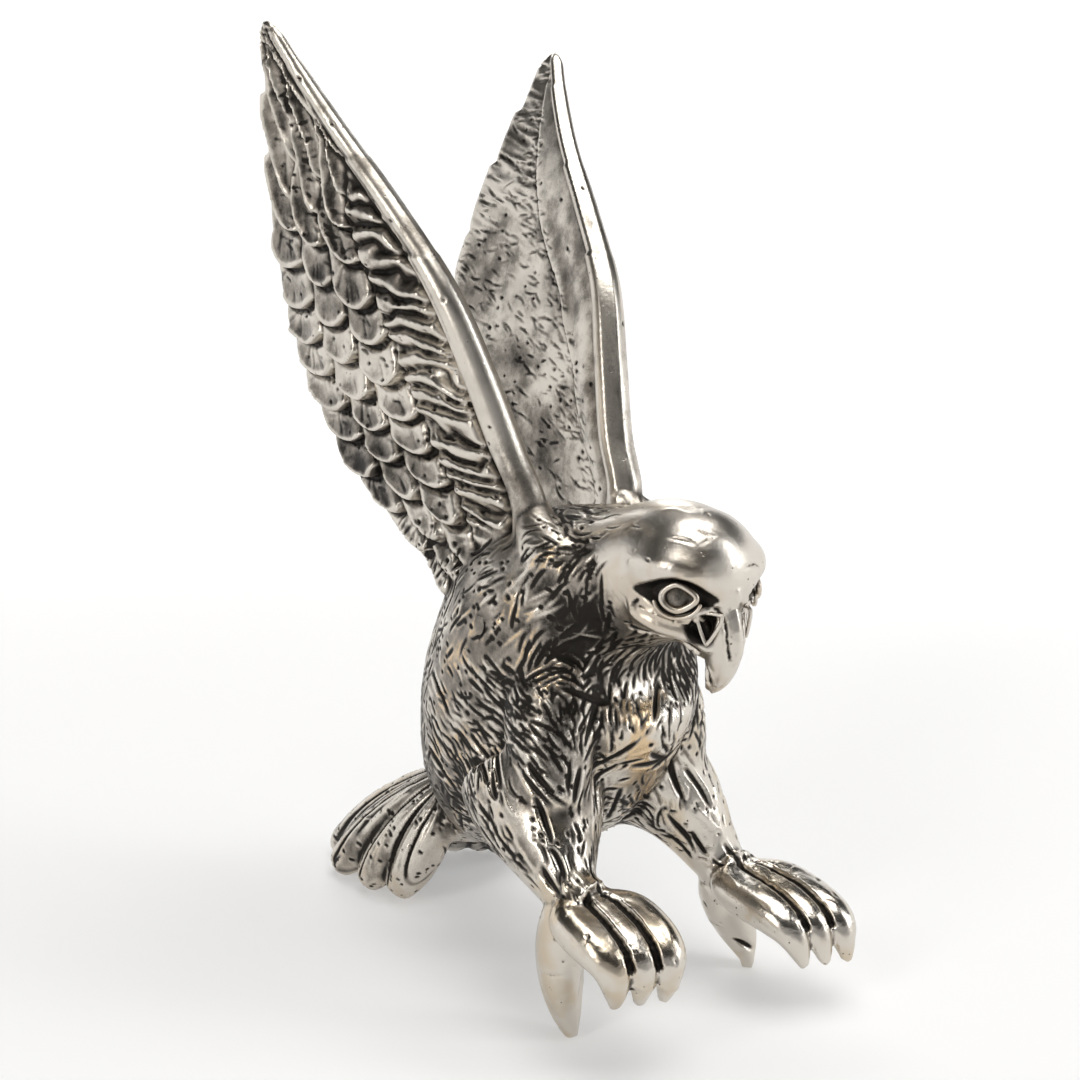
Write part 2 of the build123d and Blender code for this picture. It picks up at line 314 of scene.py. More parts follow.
def body_solid():
    rows = through(body_rows, 60)
    tilt = np.radians(rows[:, 2])
    centre = hip + np.column_stack([0 * tilt, rows[:, 0], rows[:, 1]]) * body_length
    up = np.column_stack([0 * tilt, np.cos(tilt), np.sin(tilt)])
    turn = np.linspace(0, 2 * math.pi, 72, endpoint=False)
    wide = np.cos(turn)[None, :, None] * X_AXIS * (rows[:, 3] * body_width / 2)[:, None, None]
    deep = np.sin(turn)[None, :, None] * up[:, None] * (rows[:, 4] * body_depth / 2)[:, None, None]
    return tube(centre[:, None] + wide + deep)


# ---- wings ----
# Rows: share of the wing's rise, and shares of its chord back to the leading and trailing edges.
wing_rows = np.array([
    (-0.060, 0.050, 0.380),
    (-0.020, 0.040, 0.460),
    (0.120, 0.000, 0.830),
    (0.230, 0.075, 1.000),
    (0.370, 0.155, 1.115),
    (0.510, 0.250, 1.140),
    (0.650, 0.415, 1.110),
    (0.790, 0.600, 1.030),
    (0.910, 0.735, 0.935),
    (0.990, 0.808, 0.886),
])
wing_root_spread = 5.2
wing_tip_spread = wing_high[0] - 0.7
wing_twist = 3.0
wing_camber = 1.5
band_radius = 1.9           # rounded leading edge
scale_pitch = 3.75          # spacing of the overlapping feathers, from root to tip
scale_height = 1.25         # how far a feather's free end stands over the next
covert_pitch = 2.05         # spacing of the crumpled small feathers beside the leading edge


def wing_outline(h):
    lead = shoulder[1] + smooth_at(wing_rows[:, 0], wing_rows[:, 1], h) * wing_chord
    trail = shoulder[1] + smooth_at(wing_rows[:, 0], wing_rows[:, 2], h) * wing_chord
    return lead, trail


def wing_spread(h):
    """Distance of the blade from the centre plane, at the leading and trailing edges."""
    lead = wing_root_spread + (wing_tip_spread - wing_root_spread) * np.maximum(h, 0) ** 1.45
    return lead, lead + wing_twist * (1 - h)


def stretched(rise):
    """The rise, with the feathers' spacing opened out towards the tip."""
    past_middle = np.maximum(rise - 26.0, 0)
    return rise - 0.42 * past_middle**2 / (past_middle + 8.0)


def feather_rows(rise, across, top):
    """How many feathers lie below a point. 'across' runs from -1, at the side of the trailing
    edge, to 1, over a column of feathers, and 'top' from 0 at the root to 1 at the tip."""
    slant = 0.3 + 4.3 * top
    sag = 1.5 * (1 - 0.8 * top) * np.abs(across) ** 2.2
    return (stretched(rise) + slant * across - sag) / scale_pitch


def plumage(rise, chord, c, h):
    """Height of the feathers over the wing's outer face."""
    top = smoothstep(0.46, 0.80, h)
    high = smoothstep(0.62, 0.78, h)
    tip = smoothstep(0.72, 0.88, h)
    edges = [np.zeros_like(h), 0.25 + 0.11 * high + 0.12 * tip, 0.44 + 0.20 * high + 0.23 * tip,
             0.63 + 0.23 * high + 0.02 * tip]
    place = np.column_stack([rise, c * chord, 0 * rise])
    ragged = 0.05 * noise(place, 2.6, 3) + 0.13 * noise(place, 8.0, 4)
    height = np.zeros_like(h)
    for column in range(3):
        low, high_edge = edges[column], edges[column + 1]
        width = (high_edge - low) * chord
        across = np.clip(2 * (c - low) / np.maximum(high_edge - low, 1e-3) - 1, -1.3, 1.3)
        count = feather_rows(rise, across, top) + 0.5 * (column % 2) + ragged
        number = np.floor(count)
        q = count - number
        cell = np.column_stack([number, np.full_like(number, column), np.zeros_like(number)])
        own = hashed(cell, 11)
        ramp = (1 - q) ** 0.85 * (1 + 0.25 * own)
        rim = (0.10 + 0.22 * top) * np.exp(-(((q - 0.12) / 0.09) ** 2))
        hollow = -(0.12 + 0.3 * top) * np.sin(math.pi * np.clip(q * 1.1, 0, 1)) * np.clip(1 - across**2, 0, 1)
        under = -0.7 * np.exp(-(((1 - q) / 0.13) ** 2))
        fan = np.arctan2(across * width * 0.5, (1.25 - q) * scale_pitch)
        rays = noise(np.column_stack([fan * 9 + own * 50, number * 7, 0.6 * q]), 1.0, 5 + column)
        rays = -0.13 * smoothstep(0.3, 0.8, rays) * smoothstep(0.16, 0.3, q)
        side = -0.75 * np.clip(np.abs(across), 0, 1) ** 6
        step = smoothstep(0.0, 0.06, q)
        field = scale_height * ramp * step + rim + hollow + under + rays + side
        inside = (c >= low) & (c < high_edge)
        height = np.where(inside, field, height)
    # small crumpled feathers between the scales and the leading edge, on the lower two thirds
    lower = 1 - high
    warp = 1.0 * noise(place * [1, 0.6, 1], 2.6, 8) + 0.25 * noise(place, 1.3, 9)
    wave = (rise + 0.18 * c * chord + warp) / covert_pitch
    crest = np.sin(math.pi * (wave - np.floor(wave)))
    crumple = 1.35 * crest**0.7 - 0.5 + 0.22 * noise(place * [1, 0.4, 1], 1.1, 10)
    away = (c - edges[3]) * chord
    to_band = (1 - c) * chord - 2 * band_radius
    crumple = crumple * smoothstep(0.0, 0.9, away) - 0.35 * np.exp(-((away / 0.45) ** 2))
    height = np.where(c >= edges[3], crumple * lower, height)
    # dark gap beside the leading edge
    gap = np.exp(-((to_band / 0.55) ** 2))
    return height * (1 - 0.75 * gap) - (0.6 * lower + 0.25) * gap


def wing_solid():
    """The right wing as a closed solid: plumage on its outer face, and a chased hollow inside."""
    low, high = wing_rows[0, 0], wing_rows[-1, 0]
    rows = int((high - low) * wing_rise / wing_cell)
    cols = int(wing_chord * 1.05 / wing_cell)
    h1 = np.linspace(low, high, rows)
    ease = np.linspace(0, 1, cols)
    h, c = (v.ravel() for v in np.meshgrid(h1, ease, indexing="ij"))
    lead, trail = wing_outline(h)
    rise = h * wing_rise
    top = smoothstep(0.46, 0.80, h)
    # lobes of the trailing edge follow the first column of feathers
    count = feather_rows(rise, -1.0, top)
    q = count - np.floor(count)
    round_lobe = np.sin(math.pi * np.clip(q**0.75, 0, 1)) ** 0.6
    pointed_lobe = q**0.8 * (1 - smoothstep(0.93, 1.0, q))
    lobe = round_lobe + (pointed_lobe - round_lobe) * top
    fade = smoothstep(-0.02, 0.05, h) * (1 - smoothstep(0.93, 0.985, h))
    # the blade ends in a rounded tip
    end = np.sqrt(np.clip(1 - np.clip((h - 0.955) / (high - 0.955), 0, 1) ** 2, 0.01, 1))
    centre_line = (lead + trail) / 2
    lead, trail = centre_line + (lead - centre_line) * end, centre_line + (trail - centre_line) * end
    chord = trail - lead
    spread_lead, spread_trail = wing_spread(h)
    out = spread_trail + (spread_lead - spread_trail) * c + wing_camber * np.sin(math.pi * c) * (1 - top)
    lobed = (1.5 * lobe - 0.8) * fade * np.exp(-c * chord / 1.1)
    middle = np.column_stack([-out, trail - chord * c + lobed, shoulder[2] + rise])
    lattice = middle.reshape(rows, cols, 3)
    normal = unit(np.cross(np.gradient(lattice, axis=0), np.gradient(lattice, axis=1))).reshape(-1, 3)
    normal *= np.sign(-normal[:, :1])
    taper = 1 - 0.62 * np.clip(h, 0, 1) ** 2
    from_lead = (1 - c) * chord
    from_trail = c * chord
    # the leading edge is in overlapping lengths, each ending in a small step
    stages = np.interp(h, [0.0, 0.56, 0.566, 0.735, 0.741, 0.905, 0.911, 1.0], [0, 1, 0, 1, 0, 1, 0, 0.6])
    radius = band_radius * taper * (0.97 + 0.13 * stages)
    rounded = np.sqrt(np.clip(radius**2 - (radius - np.minimum(from_lead, radius)) ** 2, 0, None))
    past = np.clip(from_lead - radius, 0, radius)
    band = np.where(from_lead < radius, rounded, np.sqrt(np.clip(radius**2 - past**2, 0, None)))
    crease = 0.16 * np.exp(-(((from_lead - 1.25 * radius) / 0.28) ** 2)) * smoothstep(0.3, 0.5, h)
    edge = np.sqrt(np.clip(from_trail, 0, 1)) * np.sqrt(np.clip(from_lead, 0, 1))
    field = 0.55 * taper + plumage(rise, chord, c, h) * (0.45 + 0.55 * taper)
    outer = np.maximum(band - crease, field * edge)
    # inner face: a smooth raised front, a sharp step, and a hollow behind it
    divide = 0.25 + 0.20 * smoothstep(0.25, 0.75, h) - 0.10 * smoothstep(0.85, 1.0, h)
    place = np.column_stack([rise, from_lead, 0 * rise])
    behind = from_lead - divide * chord + 0.5 * noise(place, 4.0, 21)
    front = 1.0 * taper + 0.10 * np.sin(from_lead * 1.3 + 0.4 * noise(place, 6.0, 22)) * (1 - top)
    front *= smoothstep(-0.02, 0.10, h)
    hollow = 0.35 + 0.25 * np.clip(behind / 12.0, 0, 1)
    step = smoothstep(-0.35, 0.35, behind)
    barbs = noise(place @ np.array([[0.9, 0.35, 0], [-0.5, 0.12, 0], [0, 0, 1]]), 0.55, 23)
    barbs = 0.10 * barbs * smoothstep(0.45, 0.85, h)
    inner = np.maximum(band, front * (1 - step) * smoothstep(0, radius * 1.5, from_lead))
    inner = inner * (1 - step) + (hollow + barbs) * step
    inner = inner * edge
    outer, inner = outer * end, inner * end
    face_out = (middle + normal * outer[:, None]).reshape(rows, cols, 3)
    face_in = (middle - normal * inner[:, None]).reshape(rows, cols, 3)
    around = np.concatenate([face_out, face_in[:, ::-1]], axis=1)
    return tube(around)


# ---- fillets and features that are cast with the bird ----
def both(solid):
    return [solid, mirrored(solid)]


brow_points = [(5.9, -23.2, 46.9), (5.6, -26.2, 46.9), (4.2, -28.4, 46.4), (2.2, -29.5, 45.5)]
cheek_points = [(6.3, -23.4, 42.2), (5.3, -25.6, 41.2), (3.6, -27.6, 40.4), (2.3, -29.0, 39.2)]


feet = {
    RIGHT: np.array([(-12.0, -21.76, 14.8), (-11.4, -25.46, 13.4), (-11.4, -30.46, 7.2)]),
    LEFT: np.array([(10.6, -18.86, 11.2), (11.3, -24.06, 10.3), (11.5, -32.76, 5.2)]),
}
toe_row = np.array([math.cos(math.radians(20)), -math.sin(math.radians(20)), 0.0]) * 2.8


def toe_path(side, place):
    """Middle line of a front toe; 'place' is -1, 0 or 1, and halves lie between the toes."""
    ankle, knuckle, tip = feet[side]
    shift = toe_row * place
    base = ankle + (knuckle - ankle) * 0.45 + shift * 0.45
    bend = (knuckle + tip) / 2 + [0, -2.3, 1.0] + shift
    return [base, knuckle + shift * 1.2, bend + shift * 0.1, tip + shift * 0.9]


def fillets():
    made = []
    for side in (RIGHT, LEFT):
        for place in (-1, 0, 1):
            made.append(limb(toe_path(side, place), [1.7, 1.95, 1.7, 0.35]))
    made.append(limb([(-12.2, -22.0, 14.2), (-13.0, -21.2, 11.0), (-13.0, -20.9, 6.0), (-12.2, -21.6, 0.8)],
                     [2.6, 2.5, 1.9, 0.6]))
    made.append(limb([(10.4, -19.4, 10.8), (10.6, -18.9, 8.0), (11.6, -19.6, 4.5), (12.3, -21.3, 0.8)],
                     [2.6, 2.5, 2.0, 0.7]))
    made += both(limb(brow_points, [1.0, 1.4, 1.4, 1.0]))
    made.append(ball((0, -24.6, 45.6), 1.0, (6.9, 6.3, 6.1)))
    made += both(limb(cheek_points, [0.8, 0.9, 0.8, 0.6]))
    # shoulders run from the leading edges into the neck
    made += both(limb([(5.9, -7.6, 49.5), (6.6, -9.4, 47.5), (6.8, -12.5, 45.2), (5.6, -16.0, 43.6)],
                      [1.7, 2.6, 3.3, 3.0]))
    # thighs run up into the breast
    made.append(limb([(-6.0, -11.5, 35.0), (-8.6, -13.8, 29.5), (-10.6, -16.2, 23.0)], [4.6, 4.8, 3.6]))
    made.append(limb([(5.6, -11.5, 34.0), (7.2, -12.8, 27.5), (8.4, -13.6, 20.5)], [4.4, 4.4, 3.4]))
    # flanks run over the leg seams
    made += both(limb([(-8.6, -11.0, 31.5), (-9.3, -8.0, 28.0), (-9.6, -5.0, 24.0), (-8.6, -1.5, 18.6)],
                      [2.6, 3.1, 3.2, 2.6]))
    # back of the neck, over the shoulders
    made.append(limb([(0, -24.0, 45.0), (0, -15.0, 44.6), (0, -6.0, 43.5), (0, 2.0, 39.0)],
                     [6.0, 5.2, 6.2, 7.0], 0.98))
    return made


# ---- build the skin ----
wing = wing_solid()
solids = [body_solid(), wing, mirrored(wing)]
solids += [cad_solid(n) for n in ("head", "right_leg", "left_leg", "tail")]
solids += fillets()
skin = Skin(*merged_skin(solids, skin_cell))
points = skin.points
x, y, z = points.T


# ---- where things are on the skin ----
def near(centre, radius, soft=0.5):
    """1 inside a ball, falling to 0 at its edge."""
    away = np.linalg.norm(points - centre, axis=1)
    return 1 - smoothstep(radius * (1 - soft), radius, away)


h = (z - shoulder[2]) / wing_rise
lead, trail = wing_outline(h)
spread_lead, spread_trail = wing_spread(h)
c = np.clip((trail - y) / np.maximum(trail - lead, 1.0), 0, 1)
blade = spread_trail + (spread_lead - spread_trail) * c
off_blade = np.abs(np.abs(x) - blade - wing_camber * 0.5)
on_wing = smoothstep(0.02, 0.09, h) * (1 - smoothstep(2.5, 4.0, off_blade))
on_wing = on_wing * smoothstep(-1.5, 1.5, y - lead + 1)
on_wing = np.maximum(on_wing, smoothstep(0.17, 0.2, h))
on_head = smoothstep(-1, 3, (points - neck_seat) @ unit(neck_way) - 1.6)
on_head = on_head * (z > head_heights[0]) * (z < head_heights[1])
on_feet = np.where(x < 0, 1 - smoothstep(14.5, 18.0, z), 1 - smoothstep(11.5, 15.0, z)) * (y < -14)
on_tail = smoothstep(0, 3, (points - tail_seat) @ unit(tail_way)) * (y > 6)

# soften the castings where they meet
joints = np.zeros(len(points))
for side in (RIGHT, LEFT):
    for centre, radius in (((side * 8.0, -8.0, 47.5), 9.0), ((side * 9.5, -9.0, 20.0), 11.0),
                           ((side * 6.0, -17.0, 43.0), 8.0)):
        joints = np.maximum(joints, near(np.array(centre), radius))
joints = np.maximum(joints, near(tail_seat + [0, 1, 0], 9.0))
joints = np.maximum(joints, near(neck_seat, 9.0))
for side in (RIGHT, LEFT):
    joints = np.maximum(joints, 0.8 * near(np.array([side * 5.6, -26.5, 47.5]), 4.5))
calm = (1 - on_wing) * (1 - 0.97 * on_feet) * (1 - 0.5 * on_tail)
rounds = 16
points = skin.points = skin.smoothed(points, rounds, calm * (1 - 0.45 * on_head))
points = skin.points = skin.smoothed(points, rounds * 4, (1 - on_wing) * (1 - 0.97 * on_feet) * joints)
x, y, z = points.T
normals = skin.normals()


# ---- chasing: strokes and pits cut along the lie of the feathers ----
carved = np.zeros(len(points))
raised = np.zeros(len(points))
sunk = np.zeros(len(points))
cut = np.zeros(len(points))
tree = KDTree(len(points))
for index, point in enumerate(points.tolist()):
    tree.insert(point, index)
tree.balance()


def stroke(centre, along, half, width, depth, bend=0.0, burr=0.3):
    """Cuts one tapering stroke into the skin, or raises one where depth is negative."""
    found = tree.find_range(centre.tolist(), half + 2.5 * width)
    if not found:
        return
    index = np.array([f[1] for f in found])
    rel = points[index] - centre
    normal = normals[index[np.argmin(np.linalg.norm(rel, axis=1))]]
    along = unit(along - normal * (along @ normal))
    t = rel @ along
    s = rel @ np.cross(normal, along) - bend * t * t
    body = np.clip(1 - (t / (half + width)) ** 2, 0, 1) * (np.abs(rel @ normal) < half + 1)
    groove = np.exp(-((s / width) ** 2)) * body
    ridge = np.exp(-(((np.abs(s) - 1.9 * width) / (0.8 * width)) ** 2)) * body
    if depth > 0:
        carved[index] = np.maximum(carved[index], depth * groove)
        raised[index] = np.maximum(raised[index], burr * depth * ridge)
        cut[index] = np.maximum(cut[index], groove * min(1.0, depth / 0.16))
    else:
        raised[index] = np.maximum(raised[index], -depth * groove)


def trail_of(points_on, width, depth, burr=0.25):
    """A long cut or ridge through points near the skin."""
    path = through(points_on, max(6, 5 * len(points_on)))
    for a, b in zip(path[:-1], path[1:]):
        middle = (a + b) / 2
        nearest = np.array(tree.find(middle.tolist())[0])
        stroke(nearest, unit(b - a), np.linalg.norm(b - a) * 0.9, width, depth, 0.0, burr)


spine_guide = [neck_seat + [0, -11, 6], neck_seat + [0, -4, 4], neck_seat]
spine_guide += [hip + [0, r[0] * body_length, r[1] * body_length] for r in body_rows[::-1][1:]]
spine_guide += [tail_seat + [0, 12, -7], tail_seat + [0, 24, -10]]
right_guide = [(-6.5, -7.5, 24), (-9.5, -13, 20.3), (-11.4, -18.5, 17), (-12, -21.8, 14.8),
               (-11.4, -27, 12.5)]
left_guide = [(6.5, -7.5, 23), (8.3, -12.8, 18.2), (9.9, -16.5, 14), (10.6, -19, 11.2), (11.3, -26, 9.5)]
guide_points, guide_ways = [], []
for guide in (spine_guide, right_guide, left_guide):
    path = through(guide, 40)
    guide_points.append(path)
    guide_ways.append(unit(np.gradient(path, axis=0)))
guide_points, guide_ways = np.vstack(guide_points), np.vstack(guide_ways)


def lie(place):
    """The direction in which the feathers lie at a place."""
    near_guide = np.argmin(np.linalg.norm(guide_points - place, axis=1))
    return guide_ways[near_guide]


def scatter(weight, count):
    """'count' random points of the skin, more of them where the weight is higher."""
    return random.choice(len(points), count, p=weight / weight.sum())


body_weight = (1 - on_wing) * (1 - on_feet * 0.97) * (1 - on_tail * 0.9) * (1 - 0.97 * on_head)
front = 1 - smoothstep(-6, 6, y)
patchy = smoothstep(-0.35, 0.45, noise(points, 8.0, 61))
for index in scatter(body_weight * (0.3 + 0.7 * front) * (0.15 + 0.85 * patchy), feather_strokes):
    centre = points[index]
    swirl = noise(centre[None] , 6.0, 31)[0] * 0.9 + random.normal(0, 0.22)
    side_way = np.cross(normals[index], lie(centre))
    way = lie(centre) * math.cos(swirl) + side_way * math.sin(swirl)
    long = random.uniform(0.5, 1.7)
    stroke(centre, way, long, random.uniform(0.13, 0.21), random.uniform(0.05, 0.17), random.normal(0, 0.12))
for index in scatter(body_weight, raised_locks):
    centre = points[index]
    way = lie(centre) + random.normal(0, 0.25, 3)
    stroke(centre, way, random.uniform(0.8, 2.2), 0.2,
           -random.uniform(0.05, 0.14), random.normal(0, 0.1), 0.0)
polish_weight = np.maximum(on_head, on_feet) * (1 - on_wing)
# pits
on_band = on_wing * (np.minimum(c, 1 - c) * np.maximum(trail - lead, 1) < 4.2)
pit_weight = (1 - 0.9 * on_head) * (1 - 0.9 * on_feet) * (0.3 + 0.7 * (1 - on_wing)) * (1 - 0.9 * on_band)
for index in scatter(pit_weight, pit_count):
    stroke(points[index], Y_AXIS + 0.3 * Z_AXIS, random.uniform(0.05, 0.3), random.uniform(0.11, 0.17),
           random.uniform(0.10, 0.22), 0.0, 0.1)
# deep slashes on flanks, thighs and breast
slash_weight = body_weight * (1 - smoothstep(24, 40, z)) * front
for index in scatter(slash_weight, slash_count):
    stroke(points[index], lie(points[index]) + random.normal(0, 0.15, 3), random.uniform(1.4, 3.0),
           random.uniform(0.24, 0.34), random.uniform(0.22, 0.42), random.normal(0, 0.05))
# faint scratches on the polished head and feet
for index in scatter(polish_weight + 1e-9, scratch_count):
    stroke(points[index], random.normal(0, 1, 3), random.uniform(0.3, 1.3), 0.10,
           random.uniform(0.015, 0.045), random.normal(0, 0.1), 0.0)
# hatching inside the wings, close along the step and sparse behind it
inner_face = on_wing * (normals[:, 0] * np.sign(x) < -0.3)
divide = 0.25 + 0.20 * smoothstep(0.25, 0.75, h) - 0.10 * smoothstep(0.85, 1.0, h)
behind = (1 - c) - divide
hatch_weight = inner_face * smoothstep(-0.06, 0.0, behind) * (0.25 + 1.4 * np.exp(-(np.abs(behind) / 0.07)))
for index in scatter(hatch_weight + 1e-9, wing_hatches):
    droop = 0.35 + 0.3 * random.normal()
    stroke(points[index], unit(-Y_AXIS - droop * Z_AXIS), random.uniform(0.4, 1.5),
           random.uniform(0.10, 0.15), random.uniform(0.04, 0.11), random.normal(0, 0.1))


# ---- face ----
def almond(centre, along, half_long, half_high):
    """0 in the middle of an almond round the centre, 1 on its outline."""
    along = unit(along)
    rel = points - centre
    t = rel @ along / half_long
    s = rel @ unit(np.cross(along, np.cross(Z_AXIS, along))) / half_high
    near_eye = np.linalg.norm(rel, axis=1) < half_long * 1.6
    return np.where(near_eye, np.sqrt(t * t + (s * (1 + 0.9 * t * t)) ** 2), 9.0)


nostril_middle = np.array([2.2, -29.35, 41.4])
nostril_out = unit([0.86, -0.50, 0.05])
nostril_across = unit(np.cross(Z_AXIS, nostril_out))
mouth = np.array([(5.3, -21.8, 39.6), (4.3, -24.3, 38.3), (3.0, -26.3, 37.4), (1.9, -27.6, 36.4),
                  (1.2, -28.1, 35.4)])
cheekbone = np.array([(5.9, -24.3, 42.6), (4.7, -26.4, 41.9), (3.2, -28.3, 41.6)])
cere_edge = np.array([(2.6, -29.6, 43.4), (1.5, -30.6, 42.0), (1.3, -30.9, 39.9), (1.0, -31.0, 38.2)])
beak_ridge = [(0, -30.6, 44.4), (0, -31.2, 42.0), (0, -31.5, 39.6), (0, -31.3, 37.6)]
# painted shade: the eye sockets and nostrils are painted near black, and a patch under each eye is painted
# darker
face_shade = np.zeros(len(points))
for side in (RIGHT, LEFT):
    flip = np.array([side, 1, 1])
    socket_middle = np.array([4.55, -27.2, 44.15]) * flip
    socket_way = np.array([-0.70, -0.71, -0.10]) * flip
    shape = almond(socket_middle, socket_way, 4.1, 1.95)
    hollow = 1 - smoothstep(0.62, 1.08, shape)
    sunk += 1.1 * hollow
    face_shade = np.maximum(face_shade, 1 - smoothstep(0.85, 1.12, shape))
    rel = points - nostril_middle * flip
    down = -rel[:, 2] / 1.5
    over = rel @ (nostril_across * flip) / 1.05
    opening = np.maximum(np.maximum(down - 0.75, -down - 0.45), np.abs(over) * 1.3 + 0.75 * down - 0.45)
    nostril = (1 - smoothstep(-0.25, 0.25, opening)) * (np.linalg.norm(rel, axis=1) < 3)
    sunk += 0.7 * nostril
    face_shade = np.maximum(face_shade, nostril)
    lore = near((2.9, -28.6, 40.6) * flip, 2.1, 0.6) * (z < 41.6)
    sunk += 0.25 * lore
    face_shade = np.maximum(face_shade, 0.75 * lore)
    trail_of(mouth * flip, 0.26, 0.5)
    trail_of(cheekbone * flip, 0.3, -0.35, 0.0)
    trail_of(cere_edge * flip, 0.22, 0.22)
trail_of(beak_ridge, 0.42, -0.30, 0.0)

# ---- feet: grooves between the toes ----
for side in (RIGHT, LEFT):
    for place in (-0.5, 0.5):
        path = through(toe_path(side, place), 12)
        out = unit(np.cross(unit(np.gradient(path, axis=0)), unit(toe_row)))
        trail_of(path[1:-3] + out[1:-3] * 0.6 * np.sign(out[:1, 2:]), 0.26, 0.45)

# ---- tail: ribs along each feather ----
rel = points - tail_seat
bearing = np.degrees(np.arctan2(x, rel[:, 1]))
reach = np.hypot(x, rel[:, 1])
spoke = (bearing + 52) / 12.0
between = np.abs(spoke - np.round(spoke)) * 2
groove = smoothstep(0.72, 1.0, between) * smoothstep(3, 8, reach)
upper = smoothstep(-0.2, 0.4, normals[:, 2])
shaft = np.exp(-((between / 0.16) ** 2))
barb = noise(np.column_stack([spoke * 6, reach * 0.35, 0 * reach]), 1.0, 41)
ribs = on_tail * upper * (-0.45 * groove + 0.15 * shaft - 0.12 * smoothstep(0.3, 0.8, barb))
cut = np.maximum(cut, on_tail * groove)

lift = ribs + raised * (carved < 0.04) - carved - sunk
points = skin.points = points + normals * lift[:, None]
points = skin.points = skin.smoothed(points, 1, np.full(len(points), 0.35))
points[:, 2] = np.maximum(points[:, 2], 0.0)
x, y, z = points.T
normals = skin.normals()

# ---- patina and painted shade: dark where the skin is hollow or cut, worn bright where it stands proud; painted shade on the face, the sides and under the chin, and painted light inside the wings ----
fine = skin.smoothed(points, 4)
broad = skin.smoothed(fine, 30)
hollowness = np.sum((fine - points) * normals, 1) / 0.045 + np.sum((broad - fine) * normals, 1) / 0.22
patches = noise(points, 9.0, 51) + 0.5 * noise(points, 3.5, 52)
polished = np.maximum(on_head, on_feet)
patina_and_shade = 0.26 + 0.40 * hollowness * (1 - 0.35 * on_wing) + 0.38 * cut + 1.2 * face_shade
patina_and_shade += (1 - polished) * (0.22 * patches + 0.05) - 0.22 * polished
# painted light: the inner faces of the wings are painted lighter against their shade
patina_and_shade -= 0.10 * inner_face
# painted shade: the skin that faces sideways is painted darker
flank_shade = smoothstep(0.5, 0.95, np.abs(normals[:, 0])) * (1 - on_wing) * (1 - polished) * (z < 46)
patina_and_shade += 0.16 * flank_shade
# painted shade under the chin, on the upper breast
patina_and_shade += 0.25 * near((-5.5, -15.5, 36.0), 8.0, 0.7) + 0.25 * near((5.5, -15.5, 36.0), 8.0, 0.7)
# the shoulders are worn brighter
patina_and_shade -= 0.16 * (near((-8, -9, 46), 9.0, 0.7) + near((8, -9, 46), 9.0, 0.7)) * (1 - on_wing)
patina_and_shade = np.clip(skin.smoothed(patina_and_shade[:, None], 1)[:, 0], 0, 1)


# ---- metal ----
def fading(nodes, low, high, at_low=0.0, at_high=1.0):
    """A node that fades smoothly from one number to another."""
    made = nodes.new("ShaderNodeMapRange")
    made.interpolation_type = "SMOOTHSTEP"
    names = ("From Min", "From Max", "To Min", "To Max")
    for name, value in zip(names, (low, high, at_low, at_high)):
        made.inputs[name].default_value = value
    return made


